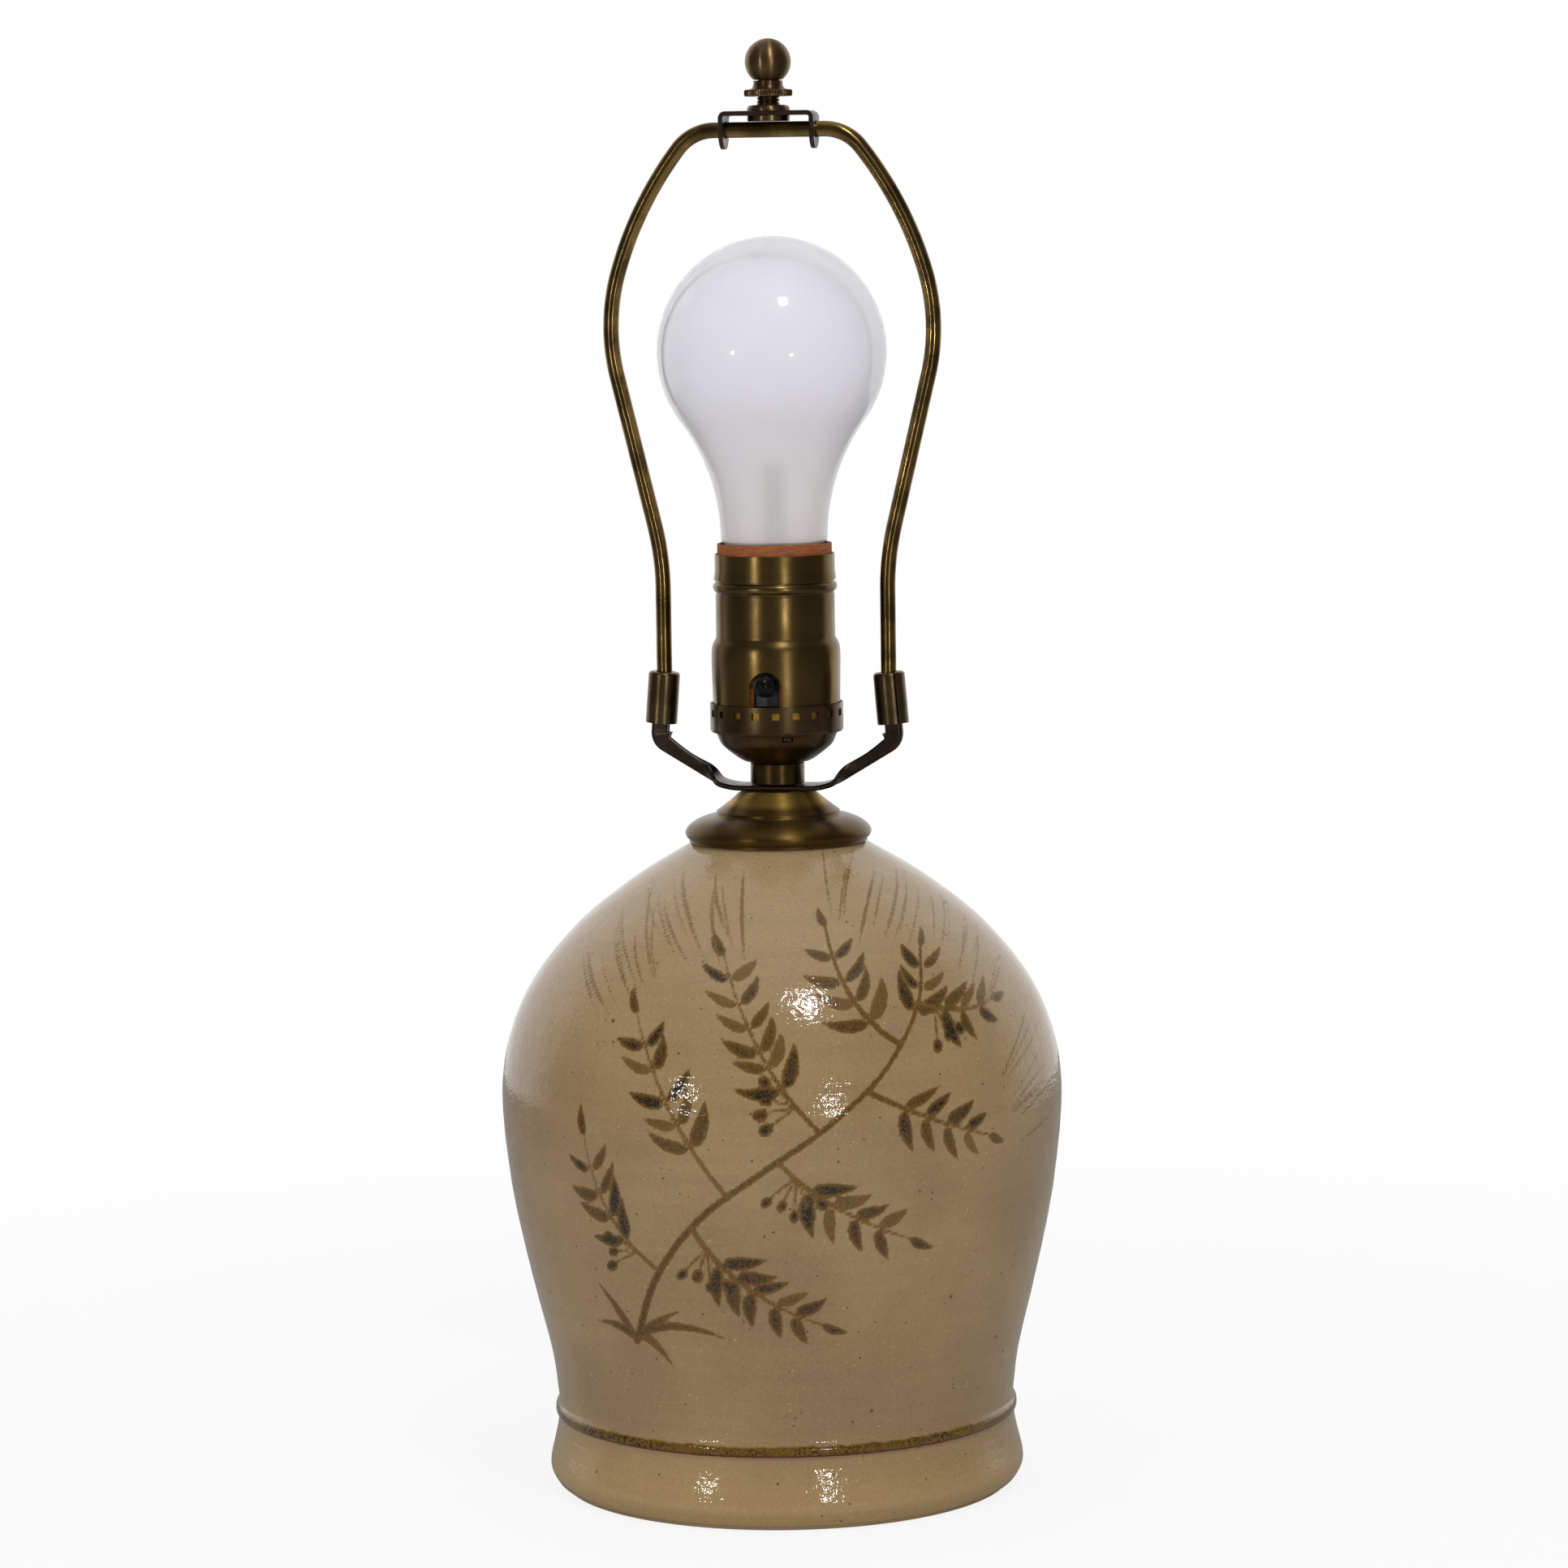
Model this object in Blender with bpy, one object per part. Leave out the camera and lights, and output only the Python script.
"""Table lamp made from a stoneware crock jug.

Metres, +Z up. The origin is the centre of the foot, on the table. The harp stands
in the XZ plane, and the switch is pushed from -Y, the front, towards +Y.

Every piece is its own object. Heights run upwards as a chain: the jug carries the
vase cap, the cap carries the harp saddle, and so on, so a changed size moves what
stands on it. The pieces that move hang from an empty on their joint's axis.
"""

import math

import bmesh
import bpy
from mathutils import Matrix, Vector

# Fits
GAP = 0.0003  # between pieces that touch
SLIDE_GAP = 0.00055  # round the knobs and the channel posts, which slide in their holes
OVERRUN = 0.003  # how far a cutter runs past the wall it cuts
WELD = 1e-6

# Sides of round pieces
JUG_SIDES = 28
SHELL_SIDES = 24
BULB_SIDES = 24
ROD_SIDES = 16
SCREW_SIDES = 12

# Stoneware jug
JUG_HEIGHT = 0.1893
JUG_BELLY_RADIUS = 0.08126
JUG_BELLY_HEIGHT = 0.1140
JUG_WAIST_RADIUS = 0.0664  # where the wall starts, just above the ridge
JUG_WAIST_HEIGHT = 0.0265
JUG_SHOULDER_RADIUS = 0.0255  # where the shoulder goes under the vase cap
JUG_SHOULDER_DROP = 0.0020
JUG_RIM_RADIUS = 0.0205
JUG_MOUTH_RADIUS = 0.0155
JUG_WALL = 0.0060
JUG_LIP_DROP = 0.0018
JUG_RECESS_HEIGHT = 0.0110
JUG_FLOOR_THICKNESS = 0.0070
JUG_FLOOR_HOLE_CLEARANCE = 0.00115  # round the lamp pipe
FOOT_RADIUS = 0.0693
FOOT_RING_WIDTH = 0.0070
FOOT_EDGE = 0.0008
RIDGE_PROUD = 0.0010  # of the wall's waist
RIDGE_ROOT_SHARE = 0.3
RIDGE_HEIGHT = 0.0227
RIDGE_HALF_WIDTH = 0.0019
CORD_HOLE_RADIUS = 0.0035
CORD_HOLE_HEIGHT = 0.0058

# The wall's line, as shares of the way from waist to belly and from belly to shoulder
LOWER_WALL_SHARES = ((0.0, 0.0), (0.125, 0.154), (0.515, 0.430), (0.838, 0.703), (1.0, 1.0))
UPPER_WALL_SHARES = ((0.956, 0.246), (0.830, 0.464), (0.595, 0.682), (0.301, 0.860), (0.0, 1.0))
# The foot's outer line, as shares of its radius and of the ridge's height
FOOT_SHARES = ((0.946, 0.035), (0.984, 0.150), (1.0, 0.290), (0.991, 0.410), (0.967, 0.570), (0.9585, 0.740))

# Lamp pipe with its washer and nut under the jug's floor
PIPE_RADIUS = 0.00485
PIPE_WALL = 0.00165
PIPE_END_HEIGHT = 0.0030
PIPE_TOP_IN_SOCKET = 0.0055  # how far it stands up inside the socket cap
WASHER_RADIUS = 0.0140
WASHER_THICKNESS = 0.0015
NUT_ACROSS_FLATS = 0.0159
NUT_THICKNESS = 0.0042

# Vase cap
CAP_RADIUS = 0.0269
CAP_HEIGHT = 0.0144
CAP_WALL = 0.0007
# Outer line from the top's edge to the lip, as shares of the cap's radius and height
CAP_SHARES = (
    (0.387, 1.0),
    (0.435, 0.945),
    (0.545, 0.770),
    (0.655, 0.615),
    (0.672, 0.545),
    (0.694, 0.520),
    (0.850, 0.435),
    (0.957, 0.320),
    (1.0, 0.195),
    (0.988, 0.085),
    (0.957, 0.045),
    (0.957, 0.0),
)

# Harp saddle: a flat strip whose long edges are folded up into channels
STRIP_THICKNESS = 0.0015
CHANNEL_HALF_WIDTH = 0.0021
CHANNEL_DEPTH = 0.0052
ELBOW_BULGE = 0.0011  # how far the bent edges swell inside the elbow
SADDLE_FLAT_HALF = 0.0115
SADDLE_SWEEP_RADIUS = 0.0160
SADDLE_SLOPE = math.radians(31.0)
SADDLE_ELBOW_RADIUS = 0.0062
SADDLE_FOLD_RUN = 0.0056  # the stretch over which the edges fold up
SADDLE_POST_RUN = 0.0106
POST_LEAN = math.radians(4.5)

# Neck tube between saddle and socket
NECK_RADIUS = 0.0078
NECK_LENGTH = 0.0062
NECK_EDGE = 0.0003

# Socket cap: bowl and pierced band
SOCKET_WALL = 0.0005
SOCKET_CAP_HEIGHT = 0.0170
BAND_CLEARANCE = 0.00035  # round the shell's hem
BAND_HEIGHT = 0.0084
BAND_CURL = 0.0007
BAND_CURL_SHARE = 0.2
BOWL_STEP = 0.0015  # from the band in to the bowl
BOWL_FOOT_PROUD = 0.0010  # of the neck tube
BOWL_SHARES = ((1.0, 1.0), (0.956, 0.91), (0.79, 0.566), (0.363, 0.197), (0.0, 0.0))
WINDOW_COUNT = 20
WINDOW_WIDTH = 0.0018
WINDOW_HEIGHT = 0.0022
WINDOW_BELOW_RIM = 0.0025
TAB_WIDTH = 0.0036
TAB_HEIGHT = 0.0015
TAB_BELOW_BAND = 0.0017
TAB_TURN = math.radians(19.4)

# Socket shell: its waist goes round the fibre liner
SHELL_WALL = 0.00035
SHELL_ABOVE_SCREW_SHELL = 0.0005
SHELL_RIM_PROUD = 0.00015  # of the waist
SHELL_SKIRT_PROUD = 0.00145  # of the waist
SHELL_HEM_DRAW = 0.00025  # in from the skirt
SHELL_HEM_RISE = 0.0074
BEAD_PROUD = 0.00075  # of the waist
BEAD_BELOW_RIM = 0.0094
BEAD_HEIGHT = 0.0032
# The bead's line, as shares of the way out from the waist and of half its height
BEAD_SHARES = ((0.84, 0.55), (1.0, 0.0), (0.70, -0.60))
SHOULDER_BELOW_RIM = 0.0232
SHOULDER_HEIGHT = 0.0080
SHOULDER_SHARES = ((0.02, 0.12), (0.24, 0.30), (0.60, 0.44), (0.84, 0.62), (1.0, 1.0))

# Fibre liner round the screw shell
LINER_WALL = 0.0008
LINER_ABOVE_SHELL = 0.0032
LINER_BELOW_BODY = 0.0001
LINER_CLEARANCE = 0.00115  # round the screw shell's lip

# Push-through switch
KNOB_RADIUS = 0.0032
SWITCH_ROD_RADIUS = 0.0016
SWITCH_TRAVEL = 0.0055
KNOB_STANDOFF = 0.0017  # knob centre beyond the shell's skirt, out at the front
SWITCH_ABOVE_BAND = 0.0063
SLOT_CLEARANCE = 0.00155  # beside the knob
SLOT_ARCH_BELOW_KNOB = 0.0010

# Switch body, terminals and contacts
BODY_HEIGHT = 0.0172
BODY_BELOW_KNOB = 0.0068
BODY_EDGE = 0.0006
TERMINAL_DEPTH = 0.0027
TERMINAL_CLEARANCE = 0.0009  # round a screw's head
TERMINAL_HEAD_RADIUS = 0.0033
TERMINAL_HEAD_THICKNESS = 0.0016
TERMINAL_EDGE_SHARE = 0.6
TERMINAL_CROWN_SHARE = 0.75
TERMINAL_SHANK_RADIUS = 0.0017
TERMINAL_SHANK_LENGTH = 0.0050
SCREW_SHELL_RADIUS = 0.01365
SCREW_SHELL_WALL = 0.0004
SCREW_SHELL_HEIGHT = 0.0254
SCREW_SHELL_LIP = 0.0009
CONTACT_WIDTH = 0.0050
CONTACT_HALF_LENGTH = 0.0068
CONTACT_CLEARANCE = 0.00095  # from its corners to the hole in the screw shell's floor
CONTACT_THICKNESS = 0.0005
CONTACT_RISE = 0.0016
CONTACT_PAD = 0.0042
CONTACT_FOOT = 0.0024

# Bulb
BULB_RADIUS = 0.0330
BULB_LENGTH = 0.1143
BULB_NECK_SWELL = 0.0031  # from the seal out to the neck
BULB_NECK_RISE = 0.00385  # above the base, where the neck starts to swell to the ball
# The glass from neck to seal, as shares of the swell and of the rise
BULB_NECK_SHARES = ((0.82, 0.74), (0.34, 0.36))
BULB_SEAL_DEPTH = 0.0090
BULB_WALL = 0.0008
BASE_HEIGHT = 0.0200
BASE_TAPER = 0.00305  # from the thread in to the bottom
BASE_WALL = 0.00035
BASE_CHAMFER = 0.0026
# The rounded bottom edge, as shares of the taper and of the chamfer's height
BASE_EDGE_SHARES = ((0.85, 0.45), (0.30, 0.0))
BASE_FLARE = 0.0003
BASE_FLARE_HEIGHT = 0.0011
INSULATOR_HEIGHT = 0.0027
INSULATOR_TOP_RADIUS = 0.0060
TIP_RADIUS = 0.0046
TIP_HEIGHT = 0.0012
TIP_EDGE_SHARE = 0.6
STEM_TUBE_RADIUS = 0.0032
STEM_HEIGHT = 0.0340
STEM_FLARE_HEIGHT = 0.0090
STEM_PINCH_SHARES = (0.7, 0.93)
STEM_FLARE_SHARES = (0.35, 0.40)
LEAD_RADIUS = 0.0004
LEAD_SPREAD = 0.0110
LEAD_RISE = 0.0260
FILAMENT_RADIUS = 0.0005
FILAMENT_RISE = 0.0050

# Harp, its ferrules and their travel
WIRE_RADIUS = 0.00225
HARP_TOP_HALF = 0.0160
HARP_CORNER_RADIUS = 0.0132
HARP_CORNER_TURN = math.radians(52.4)
HARP_CORNER_RUN = 0.0010
HARP_SHOULDER_RADIUS = 0.1049
HARP_SHOULDER_TURN = math.radians(20.9)
HARP_BOW_RADIUS = 0.0580
HARP_TAPER = math.radians(13.5)
HARP_TAPER_RUN = 0.0440
HARP_LEG_RADIUS = 0.0802
HARP_LEG_RUN = 0.0301
FERRULE_CLEARANCE = 0.00071  # round the channel's corners
FERRULE_WALL = 0.0005
FERRULE_LENGTH = 0.0149
FERRULE_EDGE = 0.0009
FERRULE_OUTER_EDGE_SHARE = 0.3
FERRULE_INNER_EDGE_SHARE = 0.5
FERRULE_OVER_POST = 0.0079

# Shade bracket, its stud and the finial
BRACKET_HALF_LENGTH = 0.01375
BRACKET_WIDTH = 0.0110
BRACKET_BEND = 0.0020
BRACKET_THICKNESS = 0.0013
BRACKET_EAR_TURN = math.radians(80.0)
STUD_RADIUS = 0.0033
STUD_HEAD_RADIUS = 0.0061
STUD_HEAD_THICKNESS = 0.00115  # between the wire and the strap
STUD_BOSS_HEIGHT = 0.0013
STUD_EDGE_SHARE = 0.4
STUD_CROWN_SHARE = 0.7
STUD_LENGTH = 0.0092
FINIAL_REST_GAP = 0.0025  # between stud boss and knurled disc, as the lamp stands
FINIAL_RADIUS = 0.0069
FINIAL_DISC_HEIGHT = 0.0019
FINIAL_EDGE_SHARE = 0.2
FINIAL_WALL = 0.0006  # of the neck, round the thread
FINIAL_NECK_HEIGHT = 0.0044
# The neck's hollow, as shares of the way out to the disc and up to the ball
FINIAL_NECK_SHARES = ((0.35, 0.08), (0.06, 0.40))
FINIAL_BORE_CONE_SHARE = 0.3
FINIAL_BALL_RADIUS = 0.0066


def clear_scene():
    for old in list(bpy.data.objects):
        bpy.data.objects.remove(old, do_unlink=True)


def finish(name, colour, roughness, metallic=0.0, transmission=0.0):
    """A Principled BSDF material with the sub-part's own colour."""
    made = bpy.data.materials.new(name)
    made.use_nodes = True
    shader = made.node_tree.nodes["Principled BSDF"]
    shader.inputs["Base Color"].default_value = (*colour, 1.0)
    shader.inputs["Roughness"].default_value = roughness
    shader.inputs["Metallic"].default_value = metallic
    shader.inputs["Transmission Weight"].default_value = transmission
    return made


def joint_axis(name, place, parent=None):
    """An empty on a joint's axis, at a place given in the lamp's own frame."""
    empty = bpy.data.objects.new(name, None)
    bpy.context.scene.collection.objects.link(empty)
    carried = world_place(parent) if parent else Vector()
    empty.parent = parent
    empty.location = Vector(place) - carried
    return empty


def world_place(item):
    place = item.location.copy()
    while item.parent:
        item = item.parent
        place += item.location
    return place


def add(name, shape, material, parent=None):
    """Makes an object of a bmesh drawn in the lamp's frame, with its origin on its parent's axis."""
    if parent:
        bmesh.ops.translate(shape, verts=shape.verts, vec=-world_place(parent))
    mesh = bpy.data.meshes.new(name)
    shape.to_mesh(mesh)
    shape.free()
    mesh.shade_smooth()
    mesh.set_sharp_from_angle(angle=math.radians(35.0))
    piece = bpy.data.objects.new(name, mesh)
    piece.data.materials.append(material)
    piece.parent = parent
    bpy.context.scene.collection.objects.link(piece)
    return piece


def cut(piece, label, shape):
    """Takes a bmesh out of a piece with a Boolean. The cutter stays in the scene as a hidden guide."""
    mesh = bpy.data.meshes.new(label)
    shape.to_mesh(mesh)
    shape.free()
    cutter = bpy.data.objects.new(label, mesh)
    cutter.hide_render = True
    cutter.display_type = "WIRE"
    bpy.context.scene.collection.objects.link(cutter)
    boolean = piece.modifiers.new(label, "BOOLEAN")
    boolean.operation = "DIFFERENCE"
    boolean.solver = "EXACT"
    boolean.object = cutter


def turned(outline, sides, seat=None):
    """A closed outline of (radius, height) points turned about Z, then moved by the matrix seat."""
    shape = bmesh.new()
    corners = [shape.verts.new((radius, 0.0, height)) for radius, height in outline]
    edges = []
    for first, second in zip(corners, corners[1:] + corners[:1]):
        if first.co.x > WELD or second.co.x > WELD:
            edges.append(shape.edges.new((first, second)))
    bmesh.ops.spin(
        shape,
        geom=corners + edges,
        cent=(0.0, 0.0, 0.0),
        axis=(0.0, 0.0, 1.0),
        angle=2.0 * math.pi,
        steps=sides,
        use_merge=True,
    )
    bmesh.ops.remove_doubles(shape, verts=shape.verts, dist=WELD)
    bmesh.ops.recalc_face_normals(shape, faces=shape.faces)
    if seat:
        bmesh.ops.transform(shape, matrix=seat, verts=shape.verts)
    return shape


def lofted(sections):
    """A solid through closed sections of equally many points."""
    shape = bmesh.new()
    rings = [[shape.verts.new(point) for point in section] for section in sections]
    count = len(rings[0])
    for first, second in zip(rings, rings[1:]):
        for i in range(count):
            j = (i + 1) % count
            shape.faces.new((first[i], first[j], second[j], second[i]))
    shape.faces.new(rings[0])
    shape.faces.new(rings[-1])
    bmesh.ops.recalc_face_normals(shape, faces=shape.faces)
    return shape


def block(low, high):
    """A box between two corners."""
    low, high = Vector(low), Vector(high)
    shape = bmesh.new()
    bmesh.ops.create_cube(shape, size=1.0)
    bmesh.ops.scale(shape, verts=shape.verts, vec=high - low)
    bmesh.ops.translate(shape, verts=shape.verts, vec=(low + high) / 2.0)
    return shape


def plug(start, end, radius, sides=ROD_SIDES):
    """A round bar between two points, for drilling."""
    start, end = Vector(start), Vector(end)
    along = end - start
    seat = Matrix.Translation(start) @ along.to_track_quat("Z", "Y").to_matrix().to_4x4()
    return turned([(0.0, 0.0), (radius, 0.0), (radius, along.length), (0.0, along.length)], sides, seat)


def thickened(line, wall):
    """Closes an outer line, drawn outwards and downwards, into the outline of a sheet."""
    steps = [(Vector(b) - Vector(a)).normalized() for a, b in zip(line, line[1:])]
    inner = []
    for point, before, after in zip(line, steps[:1] + steps, steps + steps[-1:]):
        side = Vector((before.y + after.y, -before.x - after.x)) / (1.0 + before.dot(after))
        if point[0] < WELD:
            side = Vector((0.0, -1.0))
        inner.append(tuple(Vector(point) + wall * side))
    return list(line) + inner[::-1]


def smooth_line(points, steps):
    """A Catmull-Rom curve through the points, with this many steps between neighbours."""
    points = [Vector(point) for point in points]
    padded = [2.0 * points[0] - points[1]] + points + [2.0 * points[-1] - points[-2]]
    line = []
    for a, b, c, d in zip(padded, padded[1:], padded[2:], padded[3:]):
        for step in range(steps):
            t = step / steps
            bend = (2.0 * a - 5.0 * b + 4.0 * c - d) * t * t + (3.0 * b - a - 3.0 * c + d) * t * t * t
            line.append(tuple((2.0 * b + (c - a) * t + bend) / 2.0))
    line.append(tuple(points[-1]))
    return line


def arc(centre, radius, start, end, steps):
    """Points on an arc, angles measured from the +r axis."""
    points = []
    for step in range(steps + 1):
        angle = start + (end - start) * step / steps
        points.append((centre[0] + radius * math.cos(angle), centre[1] + radius * math.sin(angle)))
    return points


class Pen:
    """Draws a plane line as straight runs and bends, as a bender forms wire or strip."""

    def __init__(self, x, z, heading=0.0):
        self.x = x
        self.z = z
        self.heading = heading
        self.stations = [(x, z, heading)]

    def mark(self):
        self.stations.append((self.x, self.z, self.heading))

    def run(self, length, steps=1):
        for _ in range(steps):
            self.x += length / steps * math.cos(self.heading)
            self.z += length / steps * math.sin(self.heading)
            self.mark()
        return self

    def bend(self, radius, turn, steps):
        """A positive turn is to the left of the line."""
        chord = 2.0 * radius * math.sin(abs(turn) / steps / 2.0)
        for _ in range(steps):
            self.heading += turn / steps / 2.0
            self.x += chord * math.cos(self.heading)
            self.z += chord * math.sin(self.heading)
            self.heading += turn / steps / 2.0
            self.mark()
        return self


def between(low, high, share):
    return low + (high - low) * share


def clipped(share):
    return min(1.0, max(0.0, share))


# Stoneware jug

JUG_FLOOR_HEIGHT = JUG_RECESS_HEIGHT + JUG_FLOOR_THICKNESS
JUG_FLOOR_HOLE_RADIUS = PIPE_RADIUS + JUG_FLOOR_HOLE_CLEARANCE


def jug_wall():
    """Outer line of the wall, from the waist up to the shoulder's edge, as (radius, height)."""
    shoulder_height = JUG_HEIGHT - JUG_SHOULDER_DROP
    keys = []
    for out, up in LOWER_WALL_SHARES:
        radius = between(JUG_WAIST_RADIUS, JUG_BELLY_RADIUS, out)
        keys.append((radius, between(JUG_WAIST_HEIGHT, JUG_BELLY_HEIGHT, up)))
    for out, up in UPPER_WALL_SHARES:
        radius = between(JUG_SHOULDER_RADIUS, JUG_BELLY_RADIUS, out)
        keys.append((radius, between(JUG_BELLY_HEIGHT, shoulder_height, up)))
    return smooth_line(keys, 2)


def build_jug():
    wall = jug_wall()
    foot = [(FOOT_RADIUS * out, RIDGE_HEIGHT * up) for out, up in FOOT_SHARES]
    ridge_root = JUG_WAIST_RADIUS + RIDGE_PROUD * RIDGE_ROOT_SHARE
    ridge = [
        (ridge_root, RIDGE_HEIGHT - RIDGE_HALF_WIDTH),
        (JUG_WAIST_RADIUS + RIDGE_PROUD, RIDGE_HEIGHT),
        (ridge_root, RIDGE_HEIGHT + RIDGE_HALF_WIDTH),
    ]
    inner = thickened(wall[::-1], JUG_WALL)[len(wall) :][::-1]
    inner = [point for point in inner[::3] if point[1] > JUG_FLOOR_HEIGHT + JUG_WALL]
    mouth_height = JUG_HEIGHT - JUG_LIP_DROP
    ring_inner = foot[0][0] - FOOT_RING_WIDTH
    floor_corner = inner[-1][0] - JUG_WALL
    outline = [(JUG_FLOOR_HOLE_RADIUS, JUG_RECESS_HEIGHT), (ring_inner - JUG_LIP_DROP, JUG_RECESS_HEIGHT)]
    outline += [(ring_inner, JUG_RECESS_HEIGHT - JUG_LIP_DROP), (ring_inner, FOOT_EDGE)]
    outline += [(ring_inner + FOOT_EDGE, 0.0), (foot[0][0] - FOOT_EDGE, 0.0)]
    outline += foot + ridge + wall
    outline += [(JUG_RIM_RADIUS, JUG_HEIGHT), (JUG_MOUTH_RADIUS + JUG_LIP_DROP, JUG_HEIGHT)]
    outline += [(JUG_MOUTH_RADIUS, mouth_height), (JUG_MOUTH_RADIUS, inner[0][1])]
    outline += inner
    outline += [(floor_corner, JUG_FLOOR_HEIGHT), (JUG_FLOOR_HOLE_RADIUS, JUG_FLOOR_HEIGHT)]
    glaze = finish("ash_glazed_stoneware", (0.40, 0.29, 0.17), 0.22)
    jug = add("stoneware_jug", turned(outline, JUG_SIDES), glaze)
    cord_hole = plug(
        (0.0, ring_inner - OVERRUN, CORD_HOLE_HEIGHT),
        (0.0, FOOT_RADIUS + OVERRUN, CORD_HOLE_HEIGHT),
        CORD_HOLE_RADIUS,
        SCREW_SIDES,
    )
    cut(jug, "cord_hole", cord_hole)


# Vase cap


def shoulder_height_at(radius):
    """Height of the jug's surface under the cap, at a radius near its shoulder."""
    line = jug_wall() + [(JUG_RIM_RADIUS, JUG_HEIGHT)]
    for low, high in zip(line, line[1:]):
        if high[0] <= radius <= low[0] and low[1] > JUG_BELLY_HEIGHT:
            return between(low[1], high[1], (low[0] - radius) / (low[0] - high[0]))
    return JUG_HEIGHT


CAP_LIP_RADIUS = CAP_RADIUS * CAP_SHARES[-1][0]
CAP_BASE = shoulder_height_at(CAP_LIP_RADIUS - CAP_WALL) + GAP
CAP_TOP = CAP_BASE + CAP_HEIGHT
PIPE_HOLE_RADIUS = PIPE_RADIUS + GAP


def build_vase_cap():
    line = [(PIPE_HOLE_RADIUS, CAP_TOP)]
    line += [(CAP_RADIUS * out, CAP_BASE + CAP_HEIGHT * up) for out, up in CAP_SHARES]
    brass = finish("spun_brass", (0.35, 0.24, 0.08), 0.30, 1.0)
    add("vase_cap", turned(thickened(line, CAP_WALL), JUG_SIDES), brass)


# Harp line: the wire's axis from the middle of its top down to the end of a leg


def harp_pen():
    pen = Pen(0.0, 0.0)
    pen.run(HARP_TOP_HALF)
    pen.bend(HARP_CORNER_RADIUS, -HARP_CORNER_TURN, 5)
    pen.run(HARP_CORNER_RUN)
    pen.bend(HARP_SHOULDER_RADIUS, -HARP_SHOULDER_TURN, 4)
    pen.bend(HARP_BOW_RADIUS, -(math.pi / 2.0 + HARP_TAPER - HARP_CORNER_TURN - HARP_SHOULDER_TURN), 4)
    pen.run(HARP_TAPER_RUN)
    pen.bend(HARP_LEG_RADIUS, HARP_TAPER, 3)
    pen.run(HARP_LEG_RUN)
    return pen


HARP_LINE = harp_pen()
LEG_HALF = HARP_LINE.x
HARP_DROP = -HARP_LINE.z

# Harp saddle

SADDLE_BASE = CAP_TOP + GAP


def saddle_pen():
    """The strip's outer face, from the middle of its flat to the top of a post, under the harp's leg."""
    post_heading = math.pi / 2.0 + POST_LEAN
    trial = Pen(0.0, SADDLE_BASE)
    trial.run(SADDLE_FLAT_HALF).bend(SADDLE_SWEEP_RADIUS, SADDLE_SLOPE, 4)
    sweep_end = trial.x
    trial.bend(SADDLE_ELBOW_RADIUS, post_heading - SADDLE_SLOPE, 6).run(SADDLE_POST_RUN)
    # The ferrule's axis leans out from the leg, and the channel's middle lies on it at the post's top.
    ferrule_out = (FERRULE_LENGTH - FERRULE_OVER_POST) * math.sin(POST_LEAN)
    face_out = CHANNEL_DEPTH / 2.0 * math.cos(POST_LEAN)
    slope_run = (LEG_HALF + ferrule_out + face_out - trial.x) / math.cos(SADDLE_SLOPE)
    pen = Pen(0.0, SADDLE_BASE)
    pen.run(SADDLE_FLAT_HALF).bend(SADDLE_SWEEP_RADIUS, SADDLE_SLOPE, 4)
    pen.run(SADDLE_FOLD_RUN, 5).run(slope_run - SADDLE_FOLD_RUN)
    pen.bend(SADDLE_ELBOW_RADIUS, post_heading - SADDLE_SLOPE, 6).run(SADDLE_POST_RUN)
    return pen, sweep_end


SADDLE_LINE, SADDLE_FOLD_START = saddle_pen()
SADDLE_FOLD_END = SADDLE_FOLD_START + SADDLE_FOLD_RUN * math.cos(SADDLE_SLOPE)
POST_TOP = SADDLE_LINE.z


def strip_section(station, side):
    """The strip's cross-section at a station: flat near the middle, folded to a channel further out."""
    x, z, heading = station
    fold = math.pi / 2.0 * clipped((x - SADDLE_FOLD_START) / (SADDLE_FOLD_END - SADDLE_FOLD_START))
    bent_share = clipped((heading - SADDLE_SLOPE) / (math.pi / 2.0 + POST_LEAN - SADDLE_SLOPE))
    edge = CHANNEL_DEPTH + ELBOW_BULGE * math.sin(math.pi * bent_share)
    along_y = edge * math.cos(fold)
    inwards = edge * math.sin(fold)
    end_y = STRIP_THICKNESS * math.sin(fold)
    end_in = STRIP_THICKNESS * math.cos(fold)
    root_y = CHANNEL_HALF_WIDTH - STRIP_THICKNESS * math.tan(fold / 2.0)
    half = [
        (CHANNEL_HALF_WIDTH, 0.0),
        (CHANNEL_HALF_WIDTH + along_y, inwards),
        (CHANNEL_HALF_WIDTH + along_y - end_y, inwards + end_in),
        (root_y, STRIP_THICKNESS),
    ]
    outline = half + [(-y, depth) for y, depth in reversed(half)]
    inward = Vector((-math.sin(heading), 0.0, math.cos(heading)))
    points = []
    for y, depth in outline:
        point = Vector((x, y, z)) + depth * inward
        points.append((side * point.x, point.y, point.z))
    return points


def build_saddle():
    right = [strip_section(station, 1.0) for station in SADDLE_LINE.stations[1:]]
    left = [strip_section(station, -1.0) for station in SADDLE_LINE.stations[1:]]
    steel = finish("brassed_steel_strip", (0.14, 0.10, 0.06), 0.38, 1.0)
    saddle = add("harp_saddle", lofted(left[::-1] + right), steel)
    hole_top = SADDLE_BASE + STRIP_THICKNESS + OVERRUN
    hole = plug((0.0, 0.0, SADDLE_BASE - OVERRUN), (0.0, 0.0, hole_top), PIPE_HOLE_RADIUS)
    cut(saddle, "saddle_pipe_hole", hole)


# Neck tube

NECK_BASE = SADDLE_BASE + STRIP_THICKNESS + GAP
NECK_TOP = NECK_BASE + NECK_LENGTH


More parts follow.
